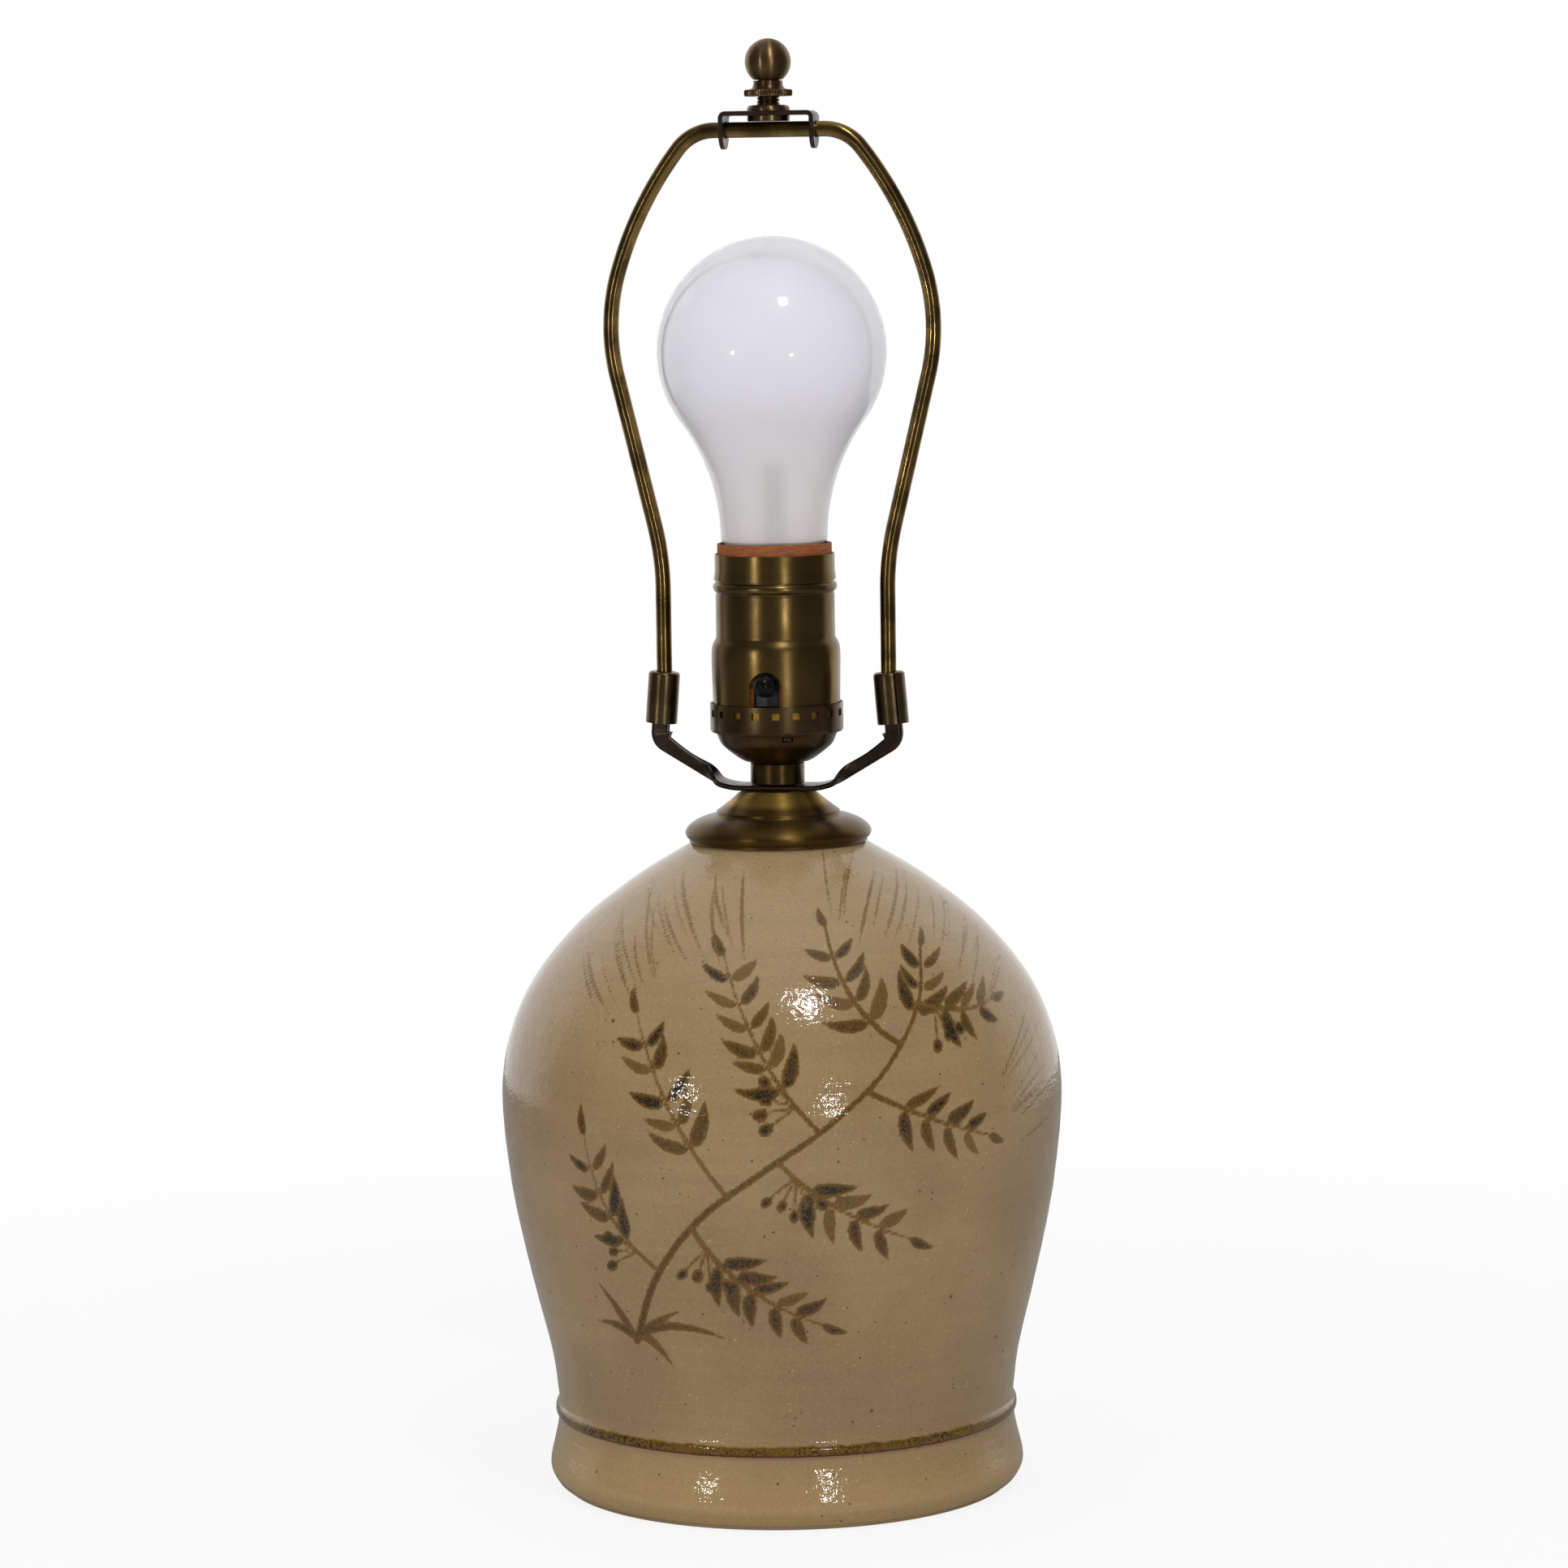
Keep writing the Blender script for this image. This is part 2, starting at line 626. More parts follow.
def build_neck():
    outline = [
        (PIPE_HOLE_RADIUS, NECK_TOP),
        (NECK_RADIUS - NECK_EDGE, NECK_TOP),
        (NECK_RADIUS, NECK_TOP - NECK_EDGE),
        (NECK_RADIUS, NECK_BASE + NECK_EDGE),
        (NECK_RADIUS - NECK_EDGE, NECK_BASE),
        (PIPE_HOLE_RADIUS, NECK_BASE),
    ]
    add("neck_tube", turned(outline, ROD_SIDES), finish("polished_brass", (0.36, 0.25, 0.09), 0.28, 1.0))


# The socket's radii, from the screw shell outwards

LINER_INNER_RADIUS = SCREW_SHELL_RADIUS + SCREW_SHELL_LIP + LINER_CLEARANCE
LINER_RADIUS = LINER_INNER_RADIUS + LINER_WALL
SHELL_WAIST_RADIUS = LINER_RADIUS + GAP + SHELL_WALL
SHELL_SKIRT_RADIUS = SHELL_WAIST_RADIUS + SHELL_SKIRT_PROUD
SHELL_HEM_RADIUS = SHELL_SKIRT_RADIUS - SHELL_HEM_DRAW
BAND_RADIUS = SHELL_HEM_RADIUS + BAND_CLEARANCE + SOCKET_WALL
BOWL_RADIUS = BAND_RADIUS - BOWL_STEP
BOWL_FOOT_RADIUS = NECK_RADIUS + BOWL_FOOT_PROUD
BODY_RADIUS = LINER_INNER_RADIUS - GAP

# The socket's heights, from the neck tube upwards

SOCKET_BASE = NECK_TOP + GAP
BAND_TOP = SOCKET_BASE + SOCKET_CAP_HEIGHT
BAND_BASE = BAND_TOP - BAND_HEIGHT
SHELL_BASE = BAND_TOP - SHELL_HEM_RISE + GAP
KNOB_HEIGHT = BAND_TOP + SWITCH_ABOVE_BAND
BODY_BASE = KNOB_HEIGHT - BODY_BELOW_KNOB
BODY_TOP = BODY_BASE + BODY_HEIGHT
SCREW_SHELL_BASE = BODY_TOP + GAP
SCREW_SHELL_TOP = SCREW_SHELL_BASE + SCREW_SHELL_HEIGHT
SHELL_TOP = SCREW_SHELL_TOP + SHELL_ABOVE_SCREW_SHELL
LINER_TOP = SHELL_TOP + LINER_ABOVE_SHELL
LINER_BASE = BODY_BASE - LINER_BELOW_BODY

# Socket cap


def build_socket_cap():
    line = [(BAND_RADIUS, BAND_TOP), (BAND_RADIUS, BAND_BASE + BAND_CURL)]
    line.append((BAND_RADIUS - BOWL_STEP / 2.0, BAND_BASE + BAND_CURL * BAND_CURL_SHARE))
    bowl = []
    for out, up in BOWL_SHARES:
        radius = between(BOWL_FOOT_RADIUS, BOWL_RADIUS, out)
        bowl.append((radius, between(SOCKET_BASE, BAND_BASE, up)))
    line += smooth_line(bowl, 1) + [(PIPE_HOLE_RADIUS, SOCKET_BASE)]
    tarnished = finish("tarnished_brass", (0.20, 0.14, 0.07), 0.36, 1.0)
    cap = add("socket_cap", turned(thickened(line, SOCKET_WALL), SHELL_SIDES), tarnished)
    windows = bmesh.new()
    bmesh.ops.create_cube(windows, size=1.0)
    depth = 2.0 * (BAND_RADIUS - SHELL_HEM_RADIUS)
    bmesh.ops.scale(windows, verts=windows.verts, vec=(WINDOW_WIDTH, depth, WINDOW_HEIGHT))
    middle = BAND_TOP - WINDOW_BELOW_RIM - WINDOW_HEIGHT / 2.0
    bmesh.ops.translate(windows, verts=windows.verts, vec=(0.0, -BAND_RADIUS, middle))
    bmesh.ops.spin(
        windows,
        geom=windows.verts[:] + windows.edges[:] + windows.faces[:],
        cent=(0.0, 0.0, 0.0),
        axis=(0.0, 0.0, 1.0),
        angle=2.0 * math.pi * (WINDOW_COUNT - 1) / WINDOW_COUNT,
        steps=WINDOW_COUNT - 1,
        use_duplicate=True,
    )
    cut(cap, "band_windows", windows)
    tab_top = BAND_BASE - TAB_BELOW_BAND + TAB_HEIGHT
    tab = block(
        (-TAB_WIDTH / 2.0, -BOWL_RADIUS - OVERRUN, tab_top - TAB_HEIGHT),
        (TAB_WIDTH / 2.0, -BOWL_FOOT_RADIUS, tab_top),
    )
    bmesh.ops.rotate(tab, verts=tab.verts, cent=(0.0, 0.0, 0.0), matrix=Matrix.Rotation(TAB_TURN, 3, "Z"))
    cut(cap, "lanced_tab_hole", tab)


# Socket shell

KNOB_OUT = SHELL_SKIRT_RADIUS + KNOB_STANDOFF
KNOB_IN = KNOB_OUT - SWITCH_TRAVEL


def arched_slot(half_width, arch_height, bottom):
    """A cutter right through the socket along Y, with a round top."""
    outline = [(-half_width, bottom)] + arc((0.0, arch_height), half_width, math.pi, 0.0, 10)
    outline.append((half_width, bottom))
    reach = KNOB_OUT + OVERRUN
    return lofted([[(x, y, z) for x, z in outline] for y in (-reach, reach)])


def build_socket_shell():
    bead_middle = SHELL_TOP - BEAD_BELOW_RIM
    bead_half = BEAD_HEIGHT / 2.0
    rim_radius = SHELL_WAIST_RADIUS + SHELL_RIM_PROUD
    line = [(rim_radius, SHELL_TOP), (rim_radius, bead_middle + bead_half)]
    for out, up in BEAD_SHARES:
        line.append((SHELL_WAIST_RADIUS + BEAD_PROUD * out, bead_middle + bead_half * up))
    line.append((SHELL_WAIST_RADIUS, bead_middle - bead_half))
    shoulder_top = SHELL_TOP - SHOULDER_BELOW_RIM
    line.append((SHELL_WAIST_RADIUS, shoulder_top))
    for out, down in SHOULDER_SHARES:
        radius = between(SHELL_WAIST_RADIUS, SHELL_SKIRT_RADIUS, out)
        line.append((radius, shoulder_top - SHOULDER_HEIGHT * down))
    line += [(SHELL_HEM_RADIUS, BAND_TOP), (SHELL_HEM_RADIUS, SHELL_BASE)]
    brass = finish("aged_brass_shell", (0.24, 0.17, 0.08), 0.32, 1.0)
    shell = add("socket_shell", turned(thickened(line, SHELL_WALL), SHELL_SIDES), brass)
    arch_height = KNOB_HEIGHT - SLOT_ARCH_BELOW_KNOB
    slot = arched_slot(KNOB_RADIUS + SLOT_CLEARANCE, arch_height, SHELL_BASE - OVERRUN)
    cut(shell, "switch_slots", slot)


# Fibre liner


def build_liner():
    outline = [
        (LINER_RADIUS, LINER_TOP),
        (LINER_RADIUS, LINER_BASE),
        (LINER_INNER_RADIUS, LINER_BASE),
        (LINER_INNER_RADIUS, LINER_TOP),
    ]
    fibre = finish("vulcanised_fibre", (0.26, 0.08, 0.035), 0.65)
    liner = add("fibre_liner", turned(outline, SHELL_SIDES), fibre)
    slot = arched_slot(KNOB_RADIUS + SLIDE_GAP, KNOB_HEIGHT, LINER_BASE - OVERRUN)
    cut(liner, "liner_slots", slot)


# Switch body, screw shell and contacts

KNOB_POCKET_DEPTH = KNOB_IN - KNOB_RADIUS - GAP
TERMINAL_HALF_WIDTH = TERMINAL_HEAD_RADIUS + TERMINAL_CLEARANCE


def build_switch_body():
    outline = [
        (0.0, BODY_TOP),
        (BODY_RADIUS - BODY_EDGE, BODY_TOP),
        (BODY_RADIUS, BODY_TOP - BODY_EDGE),
        (BODY_RADIUS, BODY_BASE + BODY_EDGE),
        (BODY_RADIUS - BODY_EDGE, BODY_BASE),
        (0.0, BODY_BASE),
    ]
    phenolic = finish("black_phenolic", (0.012, 0.012, 0.013), 0.35)
    body = add("switch_body", turned(outline, SHELL_SIDES), phenolic)
    reach = BODY_RADIUS + OVERRUN
    along_y = Matrix.Translation((0.0, 0.0, KNOB_HEIGHT)) @ Matrix.Rotation(math.pi / 2.0, 4, "X")
    pocket = KNOB_RADIUS + SLIDE_GAP
    bore = SWITCH_ROD_RADIUS + GAP
    stepped = [(0.0, reach), (pocket, reach), (pocket, KNOB_POCKET_DEPTH), (bore, KNOB_POCKET_DEPTH)]
    stepped += [(radius, -out) for radius, out in reversed(stepped)]
    cut(body, "switch_bore", turned(stepped, ROD_SIDES, along_y))
    flat = BODY_RADIUS - TERMINAL_DEPTH
    for side, where in ((-1.0, "hot"), (1.0, "neutral")):
        corners = sorted((side * flat, side * reach))
        recess = block(
            (corners[0], -TERMINAL_HALF_WIDTH, BODY_BASE - OVERRUN),
            (corners[1], TERMINAL_HALF_WIDTH, KNOB_HEIGHT + TERMINAL_HALF_WIDTH),
        )
        cut(body, "terminal_recess_" + where, recess)
        hole = plug(
            (side * (flat - TERMINAL_SHANK_LENGTH - GAP), 0.0, KNOB_HEIGHT),
            (side * reach, 0.0, KNOB_HEIGHT),
            TERMINAL_SHANK_RADIUS + GAP,
            SCREW_SIDES,
        )
        cut(body, "terminal_hole_" + where, hole)


def build_terminal_screws():
    """A binding screw in each side of the switch body: brass for the hot wire, plated for the neutral."""
    seat_out = BODY_RADIUS - TERMINAL_DEPTH + GAP
    outline = [
        (0.0, -TERMINAL_SHANK_LENGTH),
        (TERMINAL_SHANK_RADIUS, -TERMINAL_SHANK_LENGTH),
        (TERMINAL_SHANK_RADIUS, 0.0),
        (TERMINAL_HEAD_RADIUS, 0.0),
        (TERMINAL_HEAD_RADIUS, TERMINAL_HEAD_THICKNESS * TERMINAL_EDGE_SHARE),
        (TERMINAL_HEAD_RADIUS * TERMINAL_CROWN_SHARE, TERMINAL_HEAD_THICKNESS),
        (0.0, TERMINAL_HEAD_THICKNESS),
    ]
    brass = finish("screw_brass", (0.45, 0.30, 0.10), 0.30, 1.0)
    plated = finish("screw_nickel", (0.45, 0.44, 0.40), 0.30, 1.0)
    for side, where, metal in ((-1.0, "hot", brass), (1.0, "neutral", plated)):
        facing_out = Matrix.Rotation(side * math.pi / 2.0, 4, "Y")
        seat = Matrix.Translation((side * seat_out, 0.0, KNOB_HEIGHT)) @ facing_out
        add("terminal_screw_" + where, turned(outline, SCREW_SIDES, seat), metal)


CONTACT_BASE = BODY_TOP + GAP
TIP_BASE = CONTACT_BASE + CONTACT_THICKNESS + CONTACT_RISE + GAP


def build_screw_shell():
    floor_hole = math.hypot(CONTACT_HALF_LENGTH, CONTACT_WIDTH / 2.0) + CONTACT_CLEARANCE
    line = [
        (SCREW_SHELL_RADIUS + SCREW_SHELL_LIP, SCREW_SHELL_TOP),
        (SCREW_SHELL_RADIUS, SCREW_SHELL_TOP - SCREW_SHELL_LIP),
        (SCREW_SHELL_RADIUS, SCREW_SHELL_BASE + SCREW_SHELL_LIP),
        (SCREW_SHELL_RADIUS - SCREW_SHELL_LIP, SCREW_SHELL_BASE),
        (floor_hole, SCREW_SHELL_BASE),
    ]
    brass = finish("screw_shell_brass", (0.45, 0.32, 0.12), 0.30, 1.0)
    add("screw_shell", turned(thickened(line, SCREW_SHELL_WALL), BULB_SIDES), brass)


def strip_on(stations, half_width, thickness):
    """A flat strip along stations (x, z, heading), its lower face on the line. half_width may be a list."""
    widths = half_width if isinstance(half_width, list) else [half_width] * len(stations)
    sections = []
    for (x, z, heading), width in zip(stations, widths):
        up_x = -math.sin(heading) * thickness
        up_z = math.cos(heading) * thickness
        corners = [(x, -width, z), (x, width, z), (x + up_x, width, z + up_z), (x + up_x, -width, z + up_z)]
        sections.append(corners)
    return lofted(sections)


def build_centre_contact():
    """A bronze tongue: riveted foot at one end, the pad under the bulb's tip at the other."""
    pen = Pen(-CONTACT_HALF_LENGTH, CONTACT_BASE)
    climb_length = CONTACT_HALF_LENGTH - CONTACT_FOOT - CONTACT_PAD / 2.0
    pen.run(CONTACT_FOOT)
    pen.heading = math.atan2(CONTACT_RISE, climb_length)
    pen.run(math.hypot(CONTACT_RISE, climb_length))
    pen.heading = 0.0
    pen.run(CONTACT_PAD)
    add(
        "centre_contact",
        strip_on(pen.stations, CONTACT_WIDTH / 2.0, CONTACT_THICKNESS),
        finish("phosphor_bronze", (0.50, 0.30, 0.14), 0.30, 1.0),
    )


# Push-through switch


def build_switch_rod():
    axis = joint_axis("switch_push_axis", (0.0, 0.0, KNOB_HEIGHT))
    along_y = Matrix.Translation((0.0, 0.0, KNOB_HEIGHT)) @ Matrix.Rotation(math.pi / 2.0, 4, "X")
    neck = math.asin(SWITCH_ROD_RADIUS / KNOB_RADIUS)
    front = arc((0.0, KNOB_OUT), KNOB_RADIUS, math.pi / 2.0, -math.pi / 2.0 + neck, 6)
    back = arc((0.0, -KNOB_IN), KNOB_RADIUS, math.pi / 2.0 - neck, -math.pi / 2.0, 6)
    phenolic = finish("glossy_black_phenolic", (0.010, 0.010, 0.011), 0.12)
    add("switch_rod", turned(front + back, ROD_SIDES, along_y), phenolic, axis)


# Bulb

BASE_RADIUS = SCREW_SHELL_RADIUS - SCREW_SHELL_WALL - GAP
BASE_BOTTOM_RADIUS = BASE_RADIUS - BASE_TAPER
BULB_SEAL_RADIUS = BASE_RADIUS - BASE_WALL - GAP
BULB_NECK_RADIUS = BULB_SEAL_RADIUS + BULB_NECK_SWELL
INSULATOR_BASE = TIP_BASE + TIP_HEIGHT + GAP
BASE_BOTTOM = INSULATOR_BASE + INSULATOR_HEIGHT - BASE_WALL
BASE_TOP = BASE_BOTTOM + BASE_HEIGHT
BULB_TOP = TIP_BASE + BULB_LENGTH
BULB_CENTRE = BULB_TOP - BULB_RADIUS
SEAL_END = BASE_TOP - BULB_SEAL_DEPTH
STEM_TOP = SEAL_END + STEM_HEIGHT


def bulb_line():
    """Outer line of the glass: a ball, a long fillet down to the neck, and the seal inside the base."""
    neck_height = BASE_TOP + BULB_NECK_RISE
    drop = BULB_CENTRE - neck_height
    # The fillet touches the neck at neck_height and the ball from outside.
    waist = BULB_RADIUS - BULB_NECK_RADIUS
    fillet = (drop * drop + BULB_NECK_RADIUS**2 - BULB_RADIUS**2) / (2.0 * waist)
    touch = math.atan2(drop, BULB_NECK_RADIUS + fillet)
    line = arc((0.0, BULB_CENTRE), BULB_RADIUS, math.pi / 2.0, -touch, 7)
    line += arc((BULB_NECK_RADIUS + fillet, neck_height), fillet, math.pi - touch, math.pi, 3)[1:]
    for out, up in BULB_NECK_SHARES:
        line.append((BULB_SEAL_RADIUS + BULB_NECK_SWELL * out, BASE_TOP + BULB_NECK_RISE * up))
    line += [(BULB_SEAL_RADIUS, BASE_TOP + GAP), (BULB_SEAL_RADIUS, SEAL_END)]
    return line


def build_bulb():
    rise_axis = joint_axis("bulb_rise_axis", (0.0, 0.0, TIP_BASE))
    turn_axis = joint_axis("bulb_turn_axis", (0.0, 0.0, TIP_BASE), rise_axis)
    tip = [
        (0.0, TIP_BASE),
        (TIP_RADIUS * TIP_EDGE_SHARE, TIP_BASE),
        (TIP_RADIUS, TIP_BASE + TIP_HEIGHT * TIP_EDGE_SHARE),
        (TIP_RADIUS, TIP_BASE + TIP_HEIGHT),
        (0.0, TIP_BASE + TIP_HEIGHT),
    ]
    solder = finish("solder", (0.38, 0.38, 0.37), 0.35, 1.0)
    add("bulb_contact_tip", turned(tip, ROD_SIDES), solder, rise_axis)

    plug_radius = BASE_BOTTOM_RADIUS - GAP
    insulator = [
        (0.0, INSULATOR_BASE),
        (INSULATOR_TOP_RADIUS, INSULATOR_BASE),
        (plug_radius, BASE_BOTTOM - GAP),
        (plug_radius, BASE_BOTTOM + 2.0 * BASE_WALL),
        (0.0, BASE_BOTTOM + 2.0 * BASE_WALL),
    ]
    black_glass = finish("black_glass", (0.01, 0.01, 0.012), 0.15)
    add("bulb_insulator", turned(insulator, BULB_SIDES), black_glass, turn_axis)

    base = [
        (BASE_RADIUS + BASE_FLARE, BASE_TOP),
        (BASE_RADIUS, BASE_TOP - BASE_FLARE_HEIGHT),
        (BASE_RADIUS, BASE_BOTTOM + BASE_CHAMFER),
    ]
    for out, up in BASE_EDGE_SHARES:
        base.append((BASE_BOTTOM_RADIUS + BASE_TAPER * out, BASE_BOTTOM + BASE_CHAMFER * up))
    base.append((BASE_BOTTOM_RADIUS, BASE_BOTTOM))
    aluminium = finish("bulb_base_metal", (0.62, 0.60, 0.56), 0.28, 1.0)
    add("bulb_base", turned(thickened(base, BASE_WALL), BULB_SIDES), aluminium, turn_axis)

    line = bulb_line()
    frosted = finish("coated_glass", (0.86, 0.86, 0.88), 0.18)
    add("bulb_glass", turned(thickened(line, BULB_WALL), BULB_SIDES), frosted, turn_axis)

    flare = BULB_SEAL_RADIUS - BULB_WALL - GAP
    shoulder = SEAL_END + STEM_FLARE_HEIGHT
    flare_out, flare_up = STEM_FLARE_SHARES
    stem = [
        (0.0, STEM_TOP),
        (STEM_TUBE_RADIUS * STEM_PINCH_SHARES[0], STEM_TOP),
        (STEM_TUBE_RADIUS, between(shoulder, STEM_TOP, STEM_PINCH_SHARES[1])),
        (STEM_TUBE_RADIUS, shoulder),
        (between(STEM_TUBE_RADIUS, flare, flare_out), between(SEAL_END, shoulder, flare_up)),
        (flare, SEAL_END + BULB_WALL),
        (flare, SEAL_END),
        (0.0, SEAL_END),
    ]
    clear = finish("clear_stem_glass", (0.80, 0.82, 0.82), 0.08, 0.0, 0.6)
    add("bulb_stem", turned(stem, SCREW_SIDES), clear, turn_axis)

    tungsten = finish("support_wire", (0.42, 0.41, 0.40), 0.35, 1.0)
    lead_foot = STEM_TUBE_RADIUS - LEAD_RADIUS
    lead_base = STEM_TOP + GAP
    for side, name in ((-1.0, "bulb_lead_left"), (1.0, "bulb_lead_right")):
        foot = Vector((side * lead_foot, 0.0, lead_base))
        end = Vector((side * LEAD_SPREAD, 0.0, STEM_TOP + LEAD_RISE))
        middle = foot.lerp(end, 0.5) + Vector((-side * LEAD_RADIUS, 0.0, 0.0))
        route = smooth_line([foot, middle, end], 3)
        add_wire(name, route, LEAD_RADIUS, tungsten, turn_axis, 1)
    reach = LEAD_SPREAD + LEAD_RADIUS + GAP
    height = STEM_TOP + LEAD_RISE + LEAD_RADIUS + GAP + FILAMENT_RADIUS
    arch = [(-reach, 0.0, height), (0.0, 0.0, height + FILAMENT_RISE), (reach, 0.0, height)]
    add_wire("bulb_filament", smooth_line(arch, 4), FILAMENT_RADIUS, tungsten, turn_axis, 1)


def add_wire(name, route, radius, material, parent, roundness):
    """A round wire along a route, as a curve with a bevel and filled ends."""
    curve = bpy.data.curves.new(name, "CURVE")
    curve.dimensions = "3D"
    curve.bevel_depth = radius
    curve.bevel_resolution = roundness
    curve.use_fill_caps = True
    spline = curve.splines.new("POLY")
    spline.points.add(len(route) - 1)
    origin = world_place(parent)
    for point, place in zip(spline.points, route):
        point.co = (*(Vector(place) - origin), 1.0)
    curve.materials.append(material)
    wire = bpy.data.objects.new(name, curve)
    wire.parent = parent
    bpy.context.scene.collection.objects.link(wire)


# Harp and ferrules

LEG_END = POST_TOP + GAP + WIRE_RADIUS * math.sin(POST_LEAN)
HARP_TOP = LEG_END + HARP_DROP
FERRULE_TOP = POST_TOP + (FERRULE_LENGTH - FERRULE_OVER_POST) * math.cos(POST_LEAN)


def build_harp():
    lift_axis = joint_axis("harp_lift_axis", (0.0, 0.0, HARP_TOP))
    half = [(x, 0.0, HARP_TOP + z) for x, z, _ in HARP_LINE.stations[1:]]
    route = [(-x, y, z) for x, y, z in reversed(half)] + half
    brass = finish("harp_brass_wire", (0.26, 0.19, 0.09), 0.34, 1.0)
    add_wire("harp_wire", route, WIRE_RADIUS, brass, lift_axis, 2)

    hole = WIRE_RADIUS + GAP
    inner = math.hypot(CHANNEL_HALF_WIDTH, CHANNEL_DEPTH / 2.0) + FERRULE_CLEARANCE
    radius = inner + FERRULE_WALL
    outer_edge = FERRULE_EDGE * FERRULE_OUTER_EDGE_SHARE
    outline = [
        (hole, 0.0),
        (radius - FERRULE_EDGE, 0.0),
        (radius - outer_edge, -outer_edge),
        (radius, -FERRULE_EDGE),
        (radius, -FERRULE_LENGTH),
        (inner, -FERRULE_LENGTH),
        (inner, -FERRULE_EDGE),
        (inner - FERRULE_EDGE * FERRULE_INNER_EDGE_SHARE, -FERRULE_WALL),
        (hole, -FERRULE_WALL),
    ]
    for side, name in ((-1.0, "left"), (1.0, "right")):
        place = Vector((side * LEG_HALF, 0.0, FERRULE_TOP))
        slide_axis = joint_axis("ferrule_" + name + "_axis", place, lift_axis)
        seat = Matrix.Translation(place) @ Matrix.Rotation(-side * POST_LEAN, 4, "Y")
        plated = finish("ferrule_brass_" + name, (0.24, 0.18, 0.10), 0.36, 1.0)
        add("harp_ferrule_" + name, turned(outline, ROD_SIDES, seat), plated, slide_axis)
    return lift_axis


# Shade bracket and stud

STUD_HEAD_BASE = HARP_TOP + WIRE_RADIUS + GAP
STUD_HEAD_TOP = STUD_HEAD_BASE + STUD_HEAD_THICKNESS
STRAP_BASE = STUD_HEAD_TOP + GAP
STRAP_TOP = STRAP_BASE + BRACKET_THICKNESS


def build_bracket(lift_axis):
    """A strap bent down at both ends, whose round ears turn on the harp's wire."""
    tilt_axis = joint_axis("bracket_tilt_axis", (0.0, 0.0, HARP_TOP), lift_axis)
    ear_radius = BRACKET_WIDTH / 2.0
    face = BRACKET_HALF_LENGTH - BRACKET_THICKNESS  # inner face of an ear
    pen = Pen(0.0, STRAP_BASE)
    inner_bend = BRACKET_BEND - BRACKET_THICKNESS
    pen.run(face - inner_bend)
    pen.bend(inner_bend, -math.pi / 2.0, 4)
    pen.run(pen.z - HARP_TOP)
    widths = [ear_radius] * len(pen.stations)
    for step in range(1, 6):
        angle = BRACKET_EAR_TURN * step / 5.0
        below = ear_radius * math.sin(angle)
        pen.stations.append((pen.x, pen.z - below, pen.heading))
        widths.append(ear_radius * math.cos(angle))
    right = pen.stations[1:]
    left = [(-x, z, -heading) for x, z, heading in reversed(right)]
    sections = strip_on(left + right, widths[:0:-1] + widths[1:], BRACKET_THICKNESS)
    steel = finish("bracket_brassed_steel", (0.17, 0.13, 0.09), 0.36, 1.0)
    bracket = add("shade_bracket", sections, steel, tilt_axis)
    reach = BRACKET_HALF_LENGTH + OVERRUN
    cut(bracket, "wire_holes", plug((-reach, 0.0, HARP_TOP), (reach, 0.0, HARP_TOP), WIRE_RADIUS + GAP))
    stud_hole = plug((0.0, 0.0, HARP_TOP + WIRE_RADIUS), (0.0, 0.0, STRAP_TOP + OVERRUN), STUD_RADIUS + GAP)
    cut(bracket, "stud_hole", stud_hole)

    boss_base = STRAP_TOP + GAP
    boss_top = boss_base + STUD_BOSS_HEIGHT
    stud_top = boss_top + STUD_LENGTH
    edge = STUD_BOSS_HEIGHT * STUD_EDGE_SHARE
    outline = [
        (0.0, stud_top),
        (STUD_RADIUS - edge, stud_top),
        (STUD_RADIUS, stud_top - edge),
        (STUD_RADIUS, boss_top),
        (STUD_HEAD_RADIUS - STUD_BOSS_HEIGHT * STUD_CROWN_SHARE, boss_top),
        (STUD_HEAD_RADIUS, boss_base + edge),
        (STUD_HEAD_RADIUS, boss_base),
        (STUD_RADIUS, boss_base),
        (STUD_RADIUS, STUD_HEAD_TOP),
        (STUD_HEAD_RADIUS, STUD_HEAD_TOP),
        (STUD_HEAD_RADIUS, STUD_HEAD_BASE),
        (0.0, STUD_HEAD_BASE),
    ]
    stud_brass = finish("stud_brass", (0.22, 0.16, 0.08), 0.34, 1.0)
    add("shade_stud", turned(outline, ROD_SIDES), stud_brass, tilt_axis)
    return tilt_axis, boss_top, stud_top


# Finial


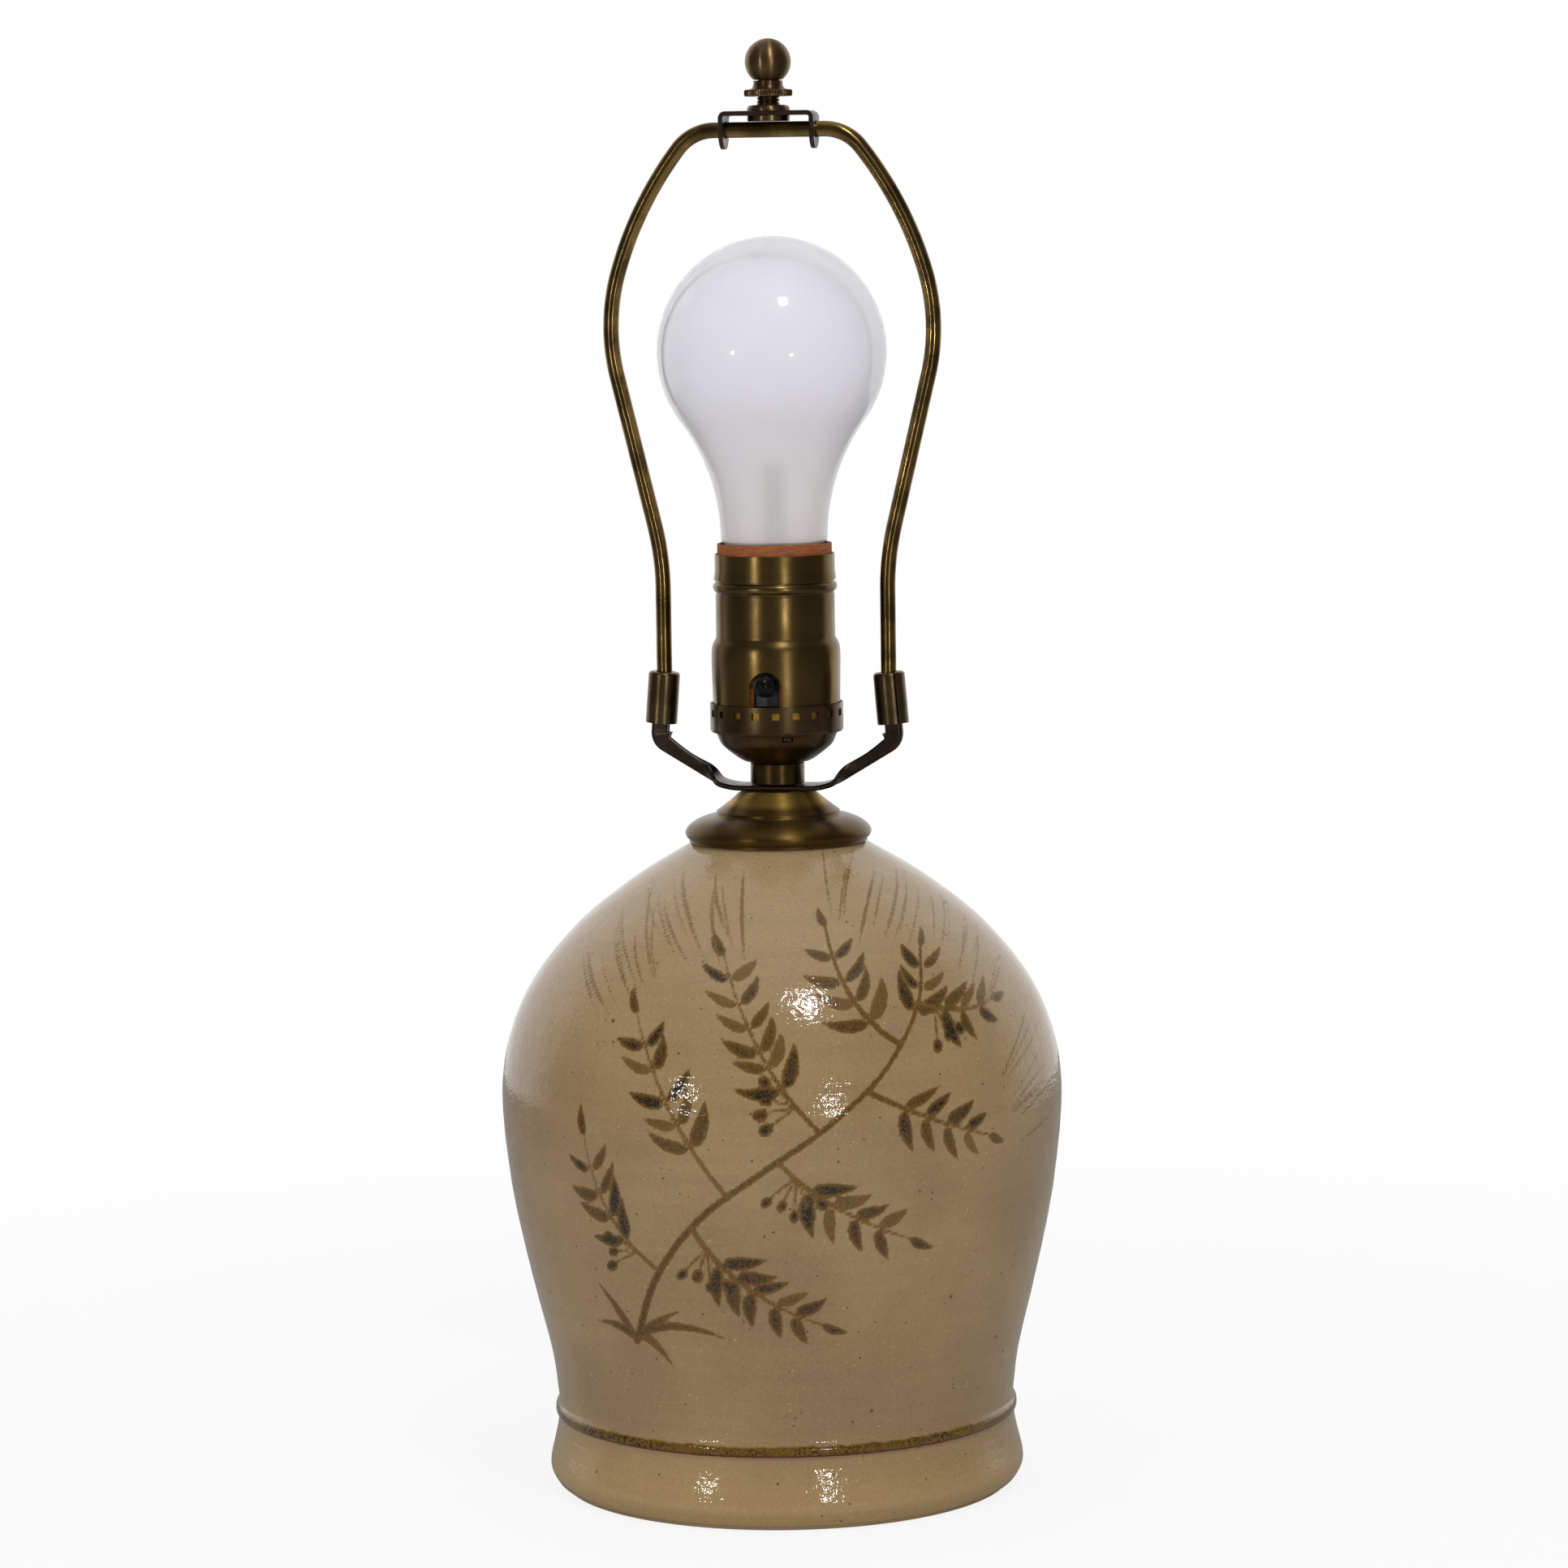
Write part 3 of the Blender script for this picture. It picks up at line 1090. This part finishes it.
def build_finial(tilt_axis, boss_top, stud_top):
    base = boss_top + FINIAL_REST_GAP
    rise_axis = joint_axis("finial_rise_axis", (0.0, 0.0, base), tilt_axis)
    turn_axis = joint_axis("finial_turn_axis", (0.0, 0.0, base), rise_axis)
    bore = STUD_RADIUS + GAP
    neck_radius = bore + FINIAL_WALL
    disc_top = base + FINIAL_DISC_HEIGHT
    neck_top = base + FINIAL_NECK_HEIGHT
    bevel = FINIAL_DISC_HEIGHT * FINIAL_EDGE_SHARE
    nut = [
        (bore, base),
        (FINIAL_RADIUS - bevel, base),
        (FINIAL_RADIUS, base + bevel),
        (FINIAL_RADIUS, disc_top - bevel),
        (FINIAL_RADIUS - bevel, disc_top),
    ]
    for out, up in FINIAL_NECK_SHARES:
        nut.append((between(neck_radius, FINIAL_RADIUS, out), between(disc_top, neck_top, up)))
    nut += [(neck_radius, neck_top), (bore, neck_top)]
    brass = finish("finial_brass", (0.34, 0.23, 0.09), 0.30, 1.0)
    add("finial_nut", turned(nut, BULB_SIDES), brass, turn_axis)

    start = math.acos(neck_radius / FINIAL_BALL_RADIUS)
    centre = neck_top + GAP + FINIAL_BALL_RADIUS * math.sin(start)
    bore_top = stud_top + FINIAL_REST_GAP
    ball = arc((0.0, centre), FINIAL_BALL_RADIUS, -start, math.pi / 2.0, 7)
    ball += [(0.0, bore_top + bore * FINIAL_BORE_CONE_SHARE), (bore, bore_top), (bore, neck_top + GAP)]
    polished = finish("finial_ball_brass", (0.34, 0.23, 0.09), 0.26, 1.0)
    add("finial_ball", turned(ball, BULB_SIDES), polished, rise_axis)


# Pipe, washer and nut


def build_pipe():
    top = SOCKET_BASE + PIPE_TOP_IN_SOCKET
    bore = PIPE_RADIUS - PIPE_WALL
    outline = [
        (bore, top),
        (PIPE_RADIUS, top),
        (PIPE_RADIUS, PIPE_END_HEIGHT),
        (bore, PIPE_END_HEIGHT),
    ]
    steel = finish("zinc_plated_pipe", (0.40, 0.40, 0.38), 0.40, 1.0)
    add("lamp_pipe", turned(outline, ROD_SIDES), steel)
    washer_top = JUG_RECESS_HEIGHT - GAP
    washer_base = washer_top - WASHER_THICKNESS
    washer = [
        (PIPE_HOLE_RADIUS, washer_top),
        (WASHER_RADIUS, washer_top),
        (WASHER_RADIUS, washer_base),
        (PIPE_HOLE_RADIUS, washer_base),
    ]
    add("foot_washer", turned(washer, ROD_SIDES), finish("zinc_washer", (0.42, 0.42, 0.40), 0.40, 1.0))
    nut_top = washer_base - GAP
    nut_base = nut_top - NUT_THICKNESS
    corner = NUT_ACROSS_FLATS / 2.0 / math.cos(math.pi / 6.0)
    hexagon = [(0.0, nut_top), (corner, nut_top), (corner, nut_base), (0.0, nut_base)]
    nut = add("foot_nut", turned(hexagon, 6), finish("zinc_nut", (0.42, 0.42, 0.40), 0.40, 1.0))
    thread = plug((0.0, 0.0, nut_base - OVERRUN), (0.0, 0.0, nut_top + OVERRUN), PIPE_HOLE_RADIUS)
    cut(nut, "nut_thread", thread)


def main():
    clear_scene()
    build_jug()
    build_pipe()
    build_vase_cap()
    build_saddle()
    build_neck()
    build_socket_cap()
    build_socket_shell()
    build_liner()
    build_switch_body()
    build_terminal_screws()
    build_screw_shell()
    build_centre_contact()
    build_switch_rod()
    build_bulb()
    tilt_axis, boss_top, stud_top = build_bracket(build_harp())
    build_finial(tilt_axis, boss_top, stud_top)


main()
